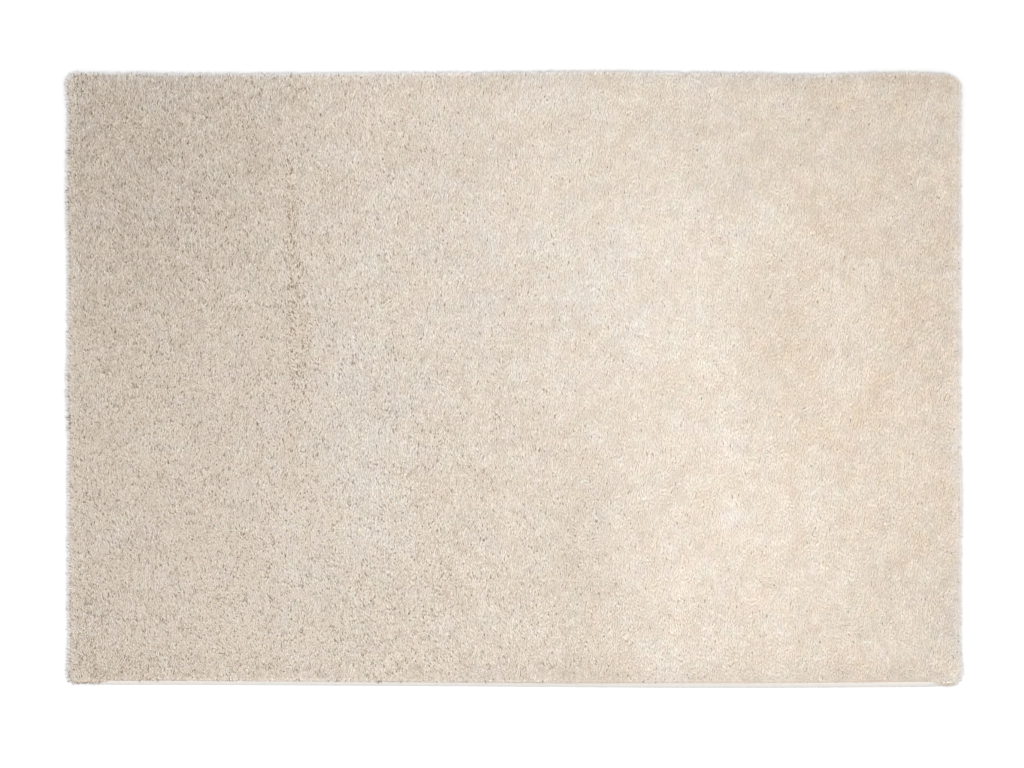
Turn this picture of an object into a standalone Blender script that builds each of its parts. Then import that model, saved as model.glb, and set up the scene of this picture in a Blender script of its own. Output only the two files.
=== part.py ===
"""A cream pile rug lying flat: one tufted mat, and the overcast edge that is sewn round it.

Metres, +Z up. The origin is on the surface the rug lies on, under the rug's middle. +X runs
along its length and +Y across its width, from the front edge to the back edge.
"""

import math

import bmesh
import bpy
import numpy as np

# The rug as a whole
LENGTH = 1.942
WIDTH = 1.3325
THICKNESS = 0.018
GAP = 0.0003

# The overcast edge: a flattened roll of yarn round the rim of the ground
EDGE_WIDTH = 0.0095
EDGE_HEIGHT = 0.006
EDGE_SECTION_POINTS = 12

# How far inside the rug's outline the pile ends
PILE_INSET = 0.0005
PILE_INSET_FRONT = 0.0080

# The stretch of the front edge where the pile stops short, and how softly it starts and ends
FRONT_START = -0.860
FRONT_END = 0.880
FRONT_FADE = 0.050

# The shoulder of the pile, from under its overhang to its top
SHOULDER = (
    {"inward": 0.0012, "height": EDGE_HEIGHT + GAP},
    {"inward": 0.0000, "height": 0.0095},
    {"inward": 0.0010, "height": 0.0138},
    {"inward": 0.0034, "height": 0.0168},
    {"inward": 0.0080, "height": THICKNESS},
)

# Corners, counterclockwise: which way each lies from the middle, and its radius
CORNERS = (
    {"name": "front right", "x": 1, "y": -1, "radius": 0.028},
    {"name": "back right", "x": 1, "y": 1, "radius": 0.020},
    {"name": "back left", "x": -1, "y": 1, "radius": 0.025},
    {"name": "front left", "x": -1, "y": -1, "radius": 0.017},
)

# Where the edges bow out or in: the side it faces, the place along it, the reach and how far out
BOWS = (
    {"side": (-1, 0), "place": 0.637, "reach": 0.028, "out": 0.0050},
    {"side": (-1, 0), "place": 0.410, "reach": 0.100, "out": 0.0035},
    {"side": (-1, 0), "place": -0.015, "reach": 0.055, "out": 0.0035},
    {"side": (1, 0), "place": -0.625, "reach": 0.022, "out": 0.0040},
    {"side": (0, 1), "place": 0.170, "reach": 0.160, "out": 0.0025},
    {"side": (0, 1), "place": 0.640, "reach": 0.090, "out": -0.0025},
    {"side": (0, -1), "place": 0.470, "reach": 0.520, "out": 0.0050},
)

# How finely the outline is divided, and the bend past which a fold between faces is drawn sharp
ARC_STEPS = 6
SIDE_STEP = 0.034
SHARP_BEND = math.radians(50)

# Colours and roughnesses of the two yarns
PILE_COLOUR = (0.66, 0.57, 0.47, 1.0)
PILE_ROUGHNESS = 0.95
EDGE_COLOUR = (0.80, 0.76, 0.71, 1.0)
EDGE_ROUGHNESS = 0.85


def plain_outline():
    """Points and outward directions round the rug: an arc at each corner, with even steps along each side."""
    points = []
    normals = []
    arcs = []
    for corner in CORNERS:
        radius = corner["radius"]
        centre = np.array((corner["x"] * (LENGTH / 2 - radius), corner["y"] * (WIDTH / 2 - radius)))
        middle = math.atan2(corner["y"], corner["x"])
        angles = middle + np.linspace(-math.pi / 4, math.pi / 4, ARC_STEPS + 1)
        directions = np.stack((np.cos(angles), np.sin(angles)), axis=1)
        arcs.append((centre + radius * directions, directions))
    for arc, following in zip(arcs, arcs[1:] + arcs[:1], strict=True):
        start, normal = arc[0][-1], arc[1][-1]
        run = following[0][0] - start
        steps = round(np.linalg.norm(run) / SIDE_STEP)
        along = np.arange(1, steps)[:, None] / steps
        points += [arc[0], start + along * run]
        normals += [arc[1], np.repeat(normal[None], steps - 1, axis=0)]
    return np.concatenate(points), np.concatenate(normals)


def outward(points):
    """At each point of a closed outline, the step outwards that moves both of its neighbouring edges by 1."""
    edges = np.roll(points, -1, axis=0) - points
    edges /= np.linalg.norm(edges, axis=1)[:, None]
    after = np.stack((edges[:, 1], -edges[:, 0]), axis=1)
    before = np.roll(after, 1, axis=0)
    middle = after + before
    return middle / (1 + np.sum(after * before, axis=1))[:, None]


def bowed_outline():
    """The plain outline with the soft bows of its edges, centred on the origin, and its steps outwards."""
    points, normals = plain_outline()
    shift = np.zeros(len(points))
    for bow in BOWS:
        side = np.array(bow["side"])
        facing = np.clip(normals @ side, 0, 1) ** 2
        along = points @ np.abs(side[::-1])
        shift += facing * bow["out"] * np.exp(-(((along - bow["place"]) / bow["reach"]) ** 2))
    points = points + normals * shift[:, None]
    points -= (points.min(axis=0) + points.max(axis=0)) / 2
    return points, outward(points)


def smooth_step(value):
    """0 below 0, 1 above 1, and an S curve between."""
    t = np.clip(value, 0, 1)
    return t * t * (3 - 2 * t)


def pile_inset(points, normals):
    """How far the pile ends inside the outline at each of its points."""
    along = points[:, 0]
    starts = smooth_step((along - FRONT_START) / FRONT_FADE)
    ends = smooth_step((FRONT_END - along) / FRONT_FADE)
    on_front = np.clip(-normals[:, 1], 0, 1)
    return PILE_INSET + (PILE_INSET_FRONT - PILE_INSET) * starts * ends * on_front


def ring(points, normals, inset, height):
    """The outline drawn in by inset, one number or one for each point, at a height."""
    flat = points - normals * np.reshape(inset, (-1, 1))
    return np.column_stack((flat, np.full(len(points), height)))


def loft(name, rings):
    """A closed body: a flat first face, a band between each ring and the next, and a flat last face."""
    count = len(rings[0])
    here = np.arange(count)
    after = (here + 1) % count
    faces = [here[::-1].tolist()]
    for level in range(len(rings) - 1):
        low = level * count
        high = low + count
        faces += np.stack((low + here, low + after, high + after, high + here), axis=1).tolist()
    faces.append((here + (len(rings) - 1) * count).tolist())
    mesh = bpy.data.meshes.new(name)
    mesh.from_pydata(np.concatenate(rings).tolist(), [], faces)
    shell = bmesh.new()
    shell.from_mesh(mesh)
    bmesh.ops.triangulate(shell, faces=shell.faces, ngon_method="EAR_CLIP")
    shell.to_mesh(mesh)
    shell.free()
    return mesh


def add_object(name, data, material, collection):
    """Puts a mesh or curve into the collection under its name, in its material."""
    data.materials.append(material)
    part = bpy.data.objects.new(name, data)
    collection.objects.link(part)
    return part


def cloth_material(name, colour, roughness):
    """A matt yarn of one colour."""
    material = bpy.data.materials.new(name)
    material.use_nodes = True
    shader = material.node_tree.nodes["Principled BSDF"]
    shader.inputs["Base Color"].default_value = colour
    shader.inputs["Roughness"].default_value = roughness
    shader.inputs["Metallic"].default_value = 0.0
    material.diffuse_color = colour
    return material


def make_mat(points, normals, collection):
    """The tufted mat: the rim of its ground is inside the overcast edge, and its pile overhangs that edge."""
    rim = EDGE_WIDTH + GAP
    pile_end = pile_inset(points, normals)
    rings = [ring(points, normals, rim, 0.0), ring(points, normals, rim, EDGE_HEIGHT + GAP)]
    for row in SHOULDER:
        rings.append(ring(points, normals, pile_end + row["inward"], row["height"]))
    material = cloth_material("cream pile", PILE_COLOUR, PILE_ROUGHNESS)
    mat = add_object("rug_mat", loft("rug_mat", rings), material, collection)
    mat.data.set_sharp_from_angle(angle=SHARP_BEND)


def edge_section(collection):
    """The roll's flattened round section, run clockwise, with a flat where it lies on the floor."""
    turn = math.pi / EDGE_SECTION_POINTS
    angles = turn - np.arange(EDGE_SECTION_POINTS) * 2 * turn
    across = np.cos(angles) / math.cos(turn) * EDGE_WIDTH / 2
    up = np.sin(angles) / math.cos(turn) * EDGE_HEIGHT / 2
    curve = bpy.data.curves.new("edge_section", "CURVE")
    curve.dimensions = "2D"
    curve.fill_mode = "NONE"
    spline = curve.splines.new("POLY")
    spline.points.add(EDGE_SECTION_POINTS - 1)
    spline.use_cyclic_u = True
    for point, x, y in zip(spline.points, across, up, strict=True):
        point.co = (x, y, 0.0, 1.0)
    section = bpy.data.objects.new("edge_section", curve)
    section.hide_render = True
    section.display_type = "WIRE"
    collection.objects.link(section)
    return section


def make_edge(points, normals, collection, guides):
    """The overcast edge: its section carried all the way round the rim of the ground."""
    path = ring(points, normals, EDGE_WIDTH / 2, 0.0)
    curve = bpy.data.curves.new("edge_overcast", "CURVE")
    curve.dimensions = "2D"
    curve.fill_mode = "NONE"
    curve.bevel_mode = "OBJECT"
    curve.bevel_object = edge_section(guides)
    spline = curve.splines.new("POLY")
    spline.points.add(len(path) - 1)
    spline.use_cyclic_u = True
    for point, place in zip(spline.points, path, strict=True):
        point.co = (*place, 1.0)
    material = cloth_material("off-white edge yarn", EDGE_COLOUR, EDGE_ROUGHNESS)
    edge = add_object("edge_overcast", curve, material, collection)
    edge.location = (0.0, 0.0, EDGE_HEIGHT / 2)


def main():
    for leftover in list(bpy.data.objects):
        bpy.data.objects.remove(leftover)
    rug = bpy.data.collections.new("Shag rug")
    guides = bpy.data.collections.new("Guides")
    bpy.context.scene.collection.children.link(rug)
    bpy.context.scene.collection.children.link(guides)
    points, normals = bowed_outline()
    make_mat(points, normals, rug)
    make_edge(points, normals, rug, guides)


main()
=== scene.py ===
# %% [markdown]
# A shag rug, seen from straight above
#
# The real rug is a woven ground with thousands of cut yarn tufts standing in it, and a thick
# pale yarn whipped round its raw edge. Seen from above only three things show: the ends of the
# tufts, the dark specks between them, and a sliver of the whipped edge along the front.
#
# A picture of a pile, or a bump pattern on a slab, goes flat as soon as the view changes. So
# every tuft here is a small closed mesh of its own. They are worked out together as arrays, and
# joined into a few large pieces.

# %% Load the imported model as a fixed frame
import math

import bpy
import numpy as np
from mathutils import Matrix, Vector


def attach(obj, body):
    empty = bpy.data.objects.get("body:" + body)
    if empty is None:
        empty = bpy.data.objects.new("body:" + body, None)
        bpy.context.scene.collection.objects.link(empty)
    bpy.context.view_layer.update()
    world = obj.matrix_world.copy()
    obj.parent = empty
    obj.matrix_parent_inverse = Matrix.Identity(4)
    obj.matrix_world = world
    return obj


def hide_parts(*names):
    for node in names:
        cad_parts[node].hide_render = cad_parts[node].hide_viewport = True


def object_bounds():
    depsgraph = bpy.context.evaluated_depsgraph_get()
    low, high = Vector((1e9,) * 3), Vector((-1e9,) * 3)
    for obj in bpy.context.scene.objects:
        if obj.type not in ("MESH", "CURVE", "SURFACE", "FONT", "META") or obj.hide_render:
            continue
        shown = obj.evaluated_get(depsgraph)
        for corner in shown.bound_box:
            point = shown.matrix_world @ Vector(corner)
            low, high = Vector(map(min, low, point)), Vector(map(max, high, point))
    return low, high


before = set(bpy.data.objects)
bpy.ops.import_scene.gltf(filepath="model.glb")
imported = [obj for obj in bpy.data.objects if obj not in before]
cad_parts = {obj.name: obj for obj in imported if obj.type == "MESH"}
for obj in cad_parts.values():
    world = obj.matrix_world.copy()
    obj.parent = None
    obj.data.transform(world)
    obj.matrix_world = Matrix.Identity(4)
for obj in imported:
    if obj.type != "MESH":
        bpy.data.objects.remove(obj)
cad_box = [list(corner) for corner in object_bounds()]
print("CAD box", cad_box)

# %% [markdown]
# The outline
#
# The rug's outline is a rectangle with a rounded corner of its own radius at each end and a few
# soft bows, because no hand-finished edge is straight. The long bows are those of the solid that
# this file replaces, so the pile grows where the solid is. The shallow ones, 2 mm or less for the
# most part, are the wandering of the tufts at the rim.

# %% The rug's sizes, in metres
LENGTH = 1.942
WIDTH = 1.3325
EDGE_WIDTH = 0.0095
EDGE_HEIGHT = 0.006
GROUND_THICKNESS = 0.003

# Corners, counterclockwise from the front right: which way each lies from the middle, and its radius
CORNERS = (
    {"x": 1, "y": -1, "radius": 0.024},
    {"x": 1, "y": 1, "radius": 0.026},
    {"x": -1, "y": 1, "radius": 0.025},
    {"x": -1, "y": -1, "radius": 0.017},
)
LEAST_CORNER_STEPS = 6

# Where the edges bow: the side it faces, the place along it, the reach and how far out
BOWS = (
    {"side": (-1, 0), "place": 0.637, "reach": 0.028, "out": 0.0050},
    {"side": (-1, 0), "place": 0.410, "reach": 0.100, "out": 0.0035},
    {"side": (-1, 0), "place": -0.015, "reach": 0.055, "out": 0.0035},
    {"side": (1, 0), "place": -0.630, "reach": 0.024, "out": 0.0060},
    {"side": (1, 0), "place": -0.270, "reach": 0.090, "out": 0.0030},
    {"side": (-1, 0), "place": -0.630, "reach": 0.030, "out": 0.0016},
    {"side": (0, -1), "place": 0.950, "reach": 0.040, "out": -0.0014},
    {"side": (0, 1), "place": 0.170, "reach": 0.160, "out": 0.0025},
    {"side": (0, 1), "place": 0.640, "reach": 0.100, "out": -0.0043},
    {"side": (0, -1), "place": 0.470, "reach": 0.520, "out": 0.0050},
    {"side": (0, -1), "place": -0.800, "reach": 0.350, "out": -0.0020},
    {"side": (0, -1), "place": -0.950, "reach": 0.050, "out": -0.0018},
    {"side": (0, 1), "place": -0.960, "reach": 0.030, "out": 0.0020},
    {"side": (0, 1), "place": -0.620, "reach": 0.170, "out": -0.0016},
    {"side": (0, 1), "place": 0.960, "reach": 0.050, "out": -0.0035},
)


def bow(side, along):
    """How far one side bows out: the sum of its bows, each a bell curve along the side."""
    rows = [row for row in BOWS if row["side"] == side]
    return sum(row["out"] * np.exp(-(((along - row["place"]) / row["reach"]) ** 2)) for row in rows)


def outline(step):
    """Points and outward directions round the rug, about a step apart.

    Each corner is a quarter circle and each side a straight run between two of them. Then every
    point moves outwards by the bows of the sides that it faces."""
    points, normals, arcs = [], [], []
    for corner in CORNERS:
        radius = corner["radius"]
        centre = np.array((corner["x"] * (LENGTH / 2 - radius), corner["y"] * (WIDTH / 2 - radius)))
        turns = max(LEAST_CORNER_STEPS, round(radius * math.pi / 2 / step))
        middle = math.atan2(corner["y"], corner["x"])
        angles = middle + np.linspace(-math.pi / 4, math.pi / 4, turns + 1)
        directions = np.stack((np.cos(angles), np.sin(angles)), axis=1)
        arcs.append((centre + radius * directions, directions))
    for arc, following in zip(arcs, arcs[1:] + arcs[:1], strict=True):
        run = following[0][0] - arc[0][-1]
        count = round(np.linalg.norm(run) / step)
        along = np.arange(1, count)[:, None] / count
        points += [arc[0], arc[0][-1] + along * run]
        normals += [arc[1], np.repeat(arc[1][-1:], count - 1, axis=0)]
    points, normals = np.concatenate(points), np.concatenate(normals)
    for side in ((1, 0), (-1, 0), (0, 1), (0, -1)):
        facing = np.clip(normals @ np.array(side), 0, 1) ** 2
        along = points @ np.abs(side[::-1])
        points = points + normals * (facing * bow(side, along))[:, None]
    return points, normals


# %% The outline's middle
COARSE_STEP = 0.034

coarse_outline = outline(COARSE_STEP)[0]
OFFSET = (coarse_outline.min(axis=0) + coarse_outline.max(axis=0)) / 2
print("the bows put the outline's middle", np.round(OFFSET * 1000, 2), "mm off the origin")


def depth_inside(x, y):
    """How far a point lies inside the outline: the least distance to a side, or to the corner's arc."""
    x, y = x + OFFSET[0], y + OFFSET[1]
    to_right = LENGTH / 2 + bow((1, 0), y) - x
    to_left = LENGTH / 2 + bow((-1, 0), y) + x
    to_back = WIDTH / 2 + bow((0, 1), x) - y
    to_front = WIDTH / 2 + bow((0, -1), x) + y
    across, up = np.minimum(to_right, to_left), np.minimum(to_back, to_front)
    radius = np.zeros_like(x)
    for corner in CORNERS:
        here = (np.sign(x) == corner["x"]) & (np.sign(y) == corner["y"])
        radius = np.where(here, corner["radius"], radius)
    rounded = radius - np.hypot(radius - across, radius - up)
    return np.where((across < radius) & (up < radius), rounded, np.minimum(across, up))


# %% [markdown]
# Camera, floor and light
#
# The photograph looks straight down, so the camera does too, from far enough away that the sides
# don't spread. A pale floor and a white sky give soft light from everywhere. One soft lamp, high
# up and in front, picks out the single tufts. The lamp stays weak, because a flat rug in even
# light has hardly any shadow round it.

# %% Camera
IMAGE_WIDTH_PX = 1024
IMAGE_HEIGHT_PX = 768
RUG_LEFT_PX, RUG_RIGHT_PX = 65.7, 963.0
RUG_TOP_PX, RUG_BOTTOM_PX = 72.4, 688.8
LENS_MM = 85.0
SENSOR_MM = 36.0

rug_length = cad_box[1][0] - cad_box[0][0]
metres_per_px = rug_length / (RUG_RIGHT_PX - RUG_LEFT_PX)
view_width = IMAGE_WIDTH_PX * metres_per_px
camera_data = bpy.data.cameras.new("camera")
camera_data.lens = LENS_MM
camera_data.sensor_width = SENSOR_MM
camera_data.shift_x = (IMAGE_WIDTH_PX - RUG_LEFT_PX - RUG_RIGHT_PX) / 2 / IMAGE_WIDTH_PX
camera_data.shift_y = (RUG_TOP_PX + RUG_BOTTOM_PX - IMAGE_HEIGHT_PX) / 2 / IMAGE_WIDTH_PX
camera = bpy.data.objects.new("camera", camera_data)
camera.location = (0.0, 0.0, cad_box[1][2] + view_width * LENS_MM / SENSOR_MM)
bpy.context.scene.collection.objects.link(camera)
bpy.context.scene.camera = camera
bpy.context.scene.view_settings.view_transform = "Standard"
print("the view is", round(view_width, 3), "m wide")

# %% Floor, sky and lamp
FLOOR_SIZE = 40.0
FLOOR_DROP = 0.0002
FLOOR_COLOUR = (0.75, 0.75, 0.75, 1.0)
SKY_STRENGTH = 1.08
LAMP_PLACE = (0.8, -2.0, 6.0)
LAMP_AIM = (-0.1, -0.2, 0.0)
LAMP_WATTS = 800.0
LAMP_RADIUS = 0.5
LAMP_CONE = math.radians(44)


def plain_material(name, colour, roughness):
    """A new material, its Principled shader and its node tree."""
    material = bpy.data.materials.new(name)
    material.use_nodes = True
    tree = material.node_tree
    shader = tree.nodes["Principled BSDF"]
    shader.inputs["Base Color"].default_value = colour
    shader.inputs["Roughness"].default_value = roughness
    return material, shader, tree


floor_mesh = bpy.data.meshes.new("floor")
half = FLOOR_SIZE / 2
floor_corners = [(a * half, b * half, -FLOOR_DROP) for a, b in ((-1, -1), (1, -1), (1, 1), (-1, 1))]
floor_mesh.from_pydata(floor_corners, [], [(0, 1, 2, 3)])
floor_mesh.materials.append(plain_material("white floor", FLOOR_COLOUR, 0.9)[0])
floor = bpy.data.objects.new("floor", floor_mesh)
bpy.context.scene.collection.objects.link(floor)

sky = bpy.data.worlds.new("sky")
sky.use_nodes = True
sky.node_tree.nodes["Background"].inputs["Color"].default_value = (1.0, 1.0, 1.0, 1.0)
sky.node_tree.nodes["Background"].inputs["Strength"].default_value = SKY_STRENGTH
bpy.context.scene.world = sky

lamp_data = bpy.data.lights.new("lamp", "SPOT")
lamp_data.energy = LAMP_WATTS
lamp_data.shadow_soft_size = LAMP_RADIUS
lamp_data.spot_size = LAMP_CONE
lamp_data.spot_blend = 1.0
lamp = bpy.data.objects.new("lamp", lamp_data)
lamp.location = LAMP_PLACE
lamp.rotation_euler = (Vector(LAMP_AIM) - Vector(LAMP_PLACE)).to_track_quat("-Z", "Y").to_euler()
bpy.context.scene.collection.objects.link(lamp)

# %% [markdown]
# Putting arrays into meshes
#
# Every new piece is made of arrays: the places of its vertices, and which of them each face
# joins. One helper puts them into a mesh with its attributes and its UV map. All the faces of a
# piece have the same number of corners, so the arrays stay plain tables.

# %% From arrays to a piece


def add_piece(name, places, faces, material, numbers=None, uv=None, smooth=True):
    """A piece at the origin from an array of places and one of faces, with a number for each
    vertex under each name in numbers, and a UV place for each corner of each face."""
    mesh = bpy.data.meshes.new(name)
    sides = faces.shape[1]
    mesh.vertices.add(len(places))
    mesh.vertices.foreach_set("co", places.astype(np.float32).ravel())
    mesh.loops.add(faces.size)
    mesh.loops.foreach_set("vertex_index", faces.astype(np.int32).ravel())
    mesh.polygons.add(len(faces))
    mesh.polygons.foreach_set("loop_start", np.arange(0, faces.size, sides, dtype=np.int32))
    mesh.polygons.foreach_set("use_smooth", np.full(len(faces), smooth))
    mesh.update(calc_edges=True)
    for key, values in (numbers or {}).items():
        values = np.asarray(values, np.float32)
        kind, field = ("FLOAT", "value") if values.ndim == 1 else ("FLOAT_VECTOR", "vector")
        layer = mesh.attributes.new(key, kind, "POINT")
        layer.data.foreach_set(field, values.ravel())
    if uv is not None:
        layer = mesh.uv_layers.new(name="OFBake")
        layer.uv.foreach_set("vector", uv.astype(np.float32).ravel())
    mesh.materials.append(material)
    piece = bpy.data.objects.new(name, mesh)
    bpy.context.scene.collection.objects.link(piece)
    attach(piece, "root")
    print(name, len(places), "vertices", len(faces) * (sides - 2), "triangles")
    return piece


# %% [markdown]
# Yarn
#
# The tufts and the whipped edge are yarn, so one node group gives both the same fine fibres: a
# noise that is stretched along the yarn. It comes out as a mask, and each material makes
# roughness and height of it. The edge makes colour of it too.

# %% The fibre group


def link(tree, source, target):
    """A wire from one socket to another."""
    tree.links.new(source, target)


def fibre_group():
    """Fine lines along a yarn: noise on a place that is squeezed along the yarn and stretched across it."""
    group = bpy.data.node_groups.new("yarn fibres", "ShaderNodeTree")
    group.interface.new_socket("Place", in_out="INPUT", socket_type="NodeSocketVector")
    group.interface.new_socket("Fineness", in_out="INPUT", socket_type="NodeSocketFloat")
    group.interface.new_socket("Mask", in_out="OUTPUT", socket_type="NodeSocketFloat")
    inside = group.nodes.new("NodeGroupInput")
    outside = group.nodes.new("NodeGroupOutput")
    noise = group.nodes.new("ShaderNodeTexNoise")
    noise.inputs["Detail"].default_value = 2.0
    noise.inputs["Roughness"].default_value = 0.6
    link(group, inside.outputs["Place"], noise.inputs["Vector"])
    link(group, inside.outputs["Fineness"], noise.inputs["Scale"])
    link(group, noise.outputs["Fac"], outside.inputs["Mask"])
    return group


YARN_FIBRES = fibre_group()


def fibre_lines(tree, place, fineness):
    """The fibre group's mask at a place, at so many lines to a unit of it."""
    node = tree.nodes.new("ShaderNodeGroup")
    node.node_tree = YARN_FIBRES
    node.inputs["Fineness"].default_value = fineness
    link(tree, place, node.inputs["Place"])
    return node.outputs["Mask"]


# %% Small helpers for materials
# Nearly all of a noise mask lies in this middle stretch
MASK_MIDDLE = (0.3, 0.7)

# A Mix node has a set of sockets for each kind of value. These are its numbers for colours
MIX_SHARE, MIX_FIRST, MIX_SECOND, MIX_RESULT = 0, 6, 7, 2


def spread(tree, source, span, low=0.0, high=1.0):
    """A value's stretch from the span's start to its end, spread from low to high."""
    node = tree.nodes.new("ShaderNodeMapRange")
    names = ("From Min", "From Max", "To Min", "To Max")
    for name, value in zip(names, (*span, low, high), strict=True):
        node.inputs[name].default_value = value
    link(tree, source, node.inputs["Value"])
    return node.outputs["Result"]


def mask_colour(tree, mask, low, high):
    """A grey that follows a mask from low to high, to multiply a colour by."""
    node = tree.nodes.new("ShaderNodeCombineColor")
    level = spread(tree, mask, MASK_MIDDLE, low, high)
    for name in ("Red", "Green", "Blue"):
        link(tree, level, node.inputs[name])
    return node.outputs["Color"]


def add_bump(tree, shader, height, metres, sunk=False):
    """A bump of so many metres that follows a height, or runs against it where sunk is set."""
    bump = tree.nodes.new("ShaderNodeBump")
    bump.invert = sunk
    bump.inputs["Distance"].default_value = metres
    link(tree, height, bump.inputs["Height"])
    link(tree, bump.outputs["Normal"], shader.inputs["Normal"])


def roughen(tree, shader, mask, smoothest, roughest, metres):
    """Roughness and a bump that both follow a mask."""
    link(tree, spread(tree, mask, MASK_MIDDLE, smoothest, roughest), shader.inputs["Roughness"])
    add_bump(tree, shader, mask, metres)


def attribute(tree, name, output="Fac"):
    """A node that reads one number or colour of the piece's own."""
    node = tree.nodes.new("ShaderNodeAttribute")
    node.attribute_name = name
    return node.outputs[output]


def ramp(tree, source, stops):
    """A colour ramp through stops of (place, colour)."""
    node = tree.nodes.new("ShaderNodeValToRGB")
    elements = node.color_ramp.elements
    while len(elements) < len(stops):
        elements.new(0.5)
    for element, (place, colour) in zip(elements, stops, strict=True):
        element.position = place
        element.color = (*colour, 1.0)
    link(tree, source, node.inputs["Fac"])
    return node.outputs["Color"]


def multiplied(tree, first, second, share=1.0):
    """One colour times another, or a share of the way there."""
    node = tree.nodes.new("ShaderNodeMix")
    node.data_type = "RGBA"
    node.blend_type = "MULTIPLY"
    node.inputs[MIX_SHARE].default_value = share
    link(tree, first, node.inputs[MIX_FIRST])
    link(tree, second, node.inputs[MIX_SECOND])
    return node.outputs[MIX_RESULT]


# %% [markdown]
# The woven ground
#
# Under the pile is a stiff woven cloth with a brushed backing, 3 mm thick. It is a closed slab
# with the rug's outline. From above it only darkens the gaps between the tufts. Its underside
# shows the weave.

# %% The ground
SLAB_STEP = 0.02
GROUND_INSET = 0.0085
WEAVE_SCALE = 260.0
WEAVE_GAP = 0.06
WEAVE_BUMP = 0.0006


def ring(points, normals, inset, height):
    """The outline drawn in by inset, one number or one for each point, at a height."""
    flat = points - normals * np.reshape(inset, (-1, 1))
    return np.column_stack((flat - OFFSET, np.full(len(points), height)))


def loft(name, rings, material):
    """A closed body through rings, from the lowest to the highest, with a fan of faces at each end."""
    count = len(rings[0])
    here = np.arange(count)
    after = (here + 1) % count
    low, high = len(rings) * count, len(rings) * count + 1
    faces = [np.stack((after, here, np.full(count, low)), axis=1)]
    for level in range(len(rings) - 1):
        a, b = here + level * count, after + level * count
        faces += [np.stack((a, b, b + count), axis=1), np.stack((a, b + count, a + count), axis=1)]
    top = (len(rings) - 1) * count
    faces.append(np.stack((here + top, after + top, np.full(count, high)), axis=1))
    middles = np.array(((0.0, 0.0, rings[0][0, 2]), (0.0, 0.0, rings[-1][0, 2])))
    places = np.concatenate((*rings, middles))
    return add_piece(name, places, np.concatenate(faces), material, smooth=False)


def ground_material():
    """A plain weave: bricks in two browns, with a dark line round each and a bump on the lines."""
    material, shader, tree = plain_material("woven ground", (0.5, 0.42, 0.33, 1.0), 0.95)
    place = tree.nodes.new("ShaderNodeTexCoord")
    weave = tree.nodes.new("ShaderNodeTexBrick")
    weave.inputs["Scale"].default_value = WEAVE_SCALE
    weave.inputs["Mortar Size"].default_value = WEAVE_GAP
    weave.inputs["Color1"].default_value = (0.56, 0.47, 0.36, 1.0)
    weave.inputs["Color2"].default_value = (0.48, 0.40, 0.30, 1.0)
    weave.inputs["Mortar"].default_value = (0.22, 0.17, 0.12, 1.0)
    link(tree, place.outputs["Object"], weave.inputs["Vector"])
    link(tree, weave.outputs["Color"], shader.inputs["Base Color"])
    add_bump(tree, shader, weave.outputs["Fac"], WEAVE_BUMP)
    return material


outline_points, outline_normals = outline(SLAB_STEP)
ground_rings = [ring(outline_points, outline_normals, GROUND_INSET, z) for z in (0.0, GROUND_THICKNESS)]
ground = loft("woven_ground", ground_rings, ground_material())
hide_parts("rug_mat")

# %% [markdown]
# Where the pile stops short
#
# On three sides the pile hangs over the edge and hides it. Along the front it was shorn back, so
# the whipped edge shows there as a pale band, a little wider right of the middle. Two soft steps
# say where the band starts and ends, and a third widens it.

# %% The front band
FRONT_START = -0.912
FRONT_END = 0.938
FRONT_FADE = 0.036
# Here and below, a pair of values is for the left of the rug and for its right
FRONT_SHORT = (0.0074, 0.0096)
WIDENING_START = 0.05
WIDENING_FADE = 0.35


def smooth_step(value):
    """0 below 0, 1 above 1, and an S curve between."""
    t = np.clip(value, 0, 1)
    return t * t * (3 - 2 * t)


def blend(first, second, share):
    """The first value where the share is 0, the second where it is 1, and even steps between."""
    return first + (second - first) * share


def front_share(x, facing_front):
    """1 along the stretch of the front edge where the pile stops short, and 0 away from it."""
    starts = smooth_step((x - FRONT_START) / FRONT_FADE)
    ends = smooth_step((FRONT_END - x) / FRONT_FADE)
    return starts * ends * facing_front


def right_of_middle(x):
    """0 on the left, 1 on the right, and a soft step between, where the front edge bows out."""
    return smooth_step((x - WIDENING_START) / WIDENING_FADE)


def front_short(x, facing_front):
    """How far the pile stops short of the outline."""
    return blend(*FRONT_SHORT, right_of_middle(x)) * front_share(x, facing_front)


# %% [markdown]
# The body of the pile
#
# Low down the yarns stand so close that no light passes between them. That part is one closed
# body with a rounded shoulder, and the free ends of the yarns stand on it. Its colour is painted
# shade, darkest on the left, where it shows between the tufts, and its skirt is painted paler, as
# light from the floor.

# %% The body
# Its rings, from the lowest up: how far inside the outline, how much of the front band each one
# keeps clear of, and the height. The tufts on the grid stand on those from the row SHOULDER on
BODY = (
    {"inset": 0.0098, "short": 0.4, "height": 0.0030},
    {"inset": 0.0098, "short": 0.4, "height": 0.0064},
    {"inset": 0.0036, "short": 1.0, "height": 0.0066},
    {"inset": 0.0034, "short": 1.0, "height": 0.0074},
    {"inset": 0.0050, "short": 1.0, "height": 0.0082},
    {"inset": 0.0090, "short": 1.0, "height": 0.0086},
)
SHOULDER = 3
PILE_INSET = BODY[SHOULDER]["inset"]
BODY_SHADE_SPAN = (-0.75, 0.55)
SKIRT_SPAN = (0.0070, 0.0084)
YARNS_SCALE = 300.0
YARNS_BUMP = 0.002


def body_height(depth):
    """How high the body's shoulder and top are at a depth inside the pile's own edge."""
    insets = [row["inset"] for row in BODY[SHOULDER:]]
    heights = [row["height"] for row in BODY[SHOULDER:]]
    return np.interp(depth, insets, heights)


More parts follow.
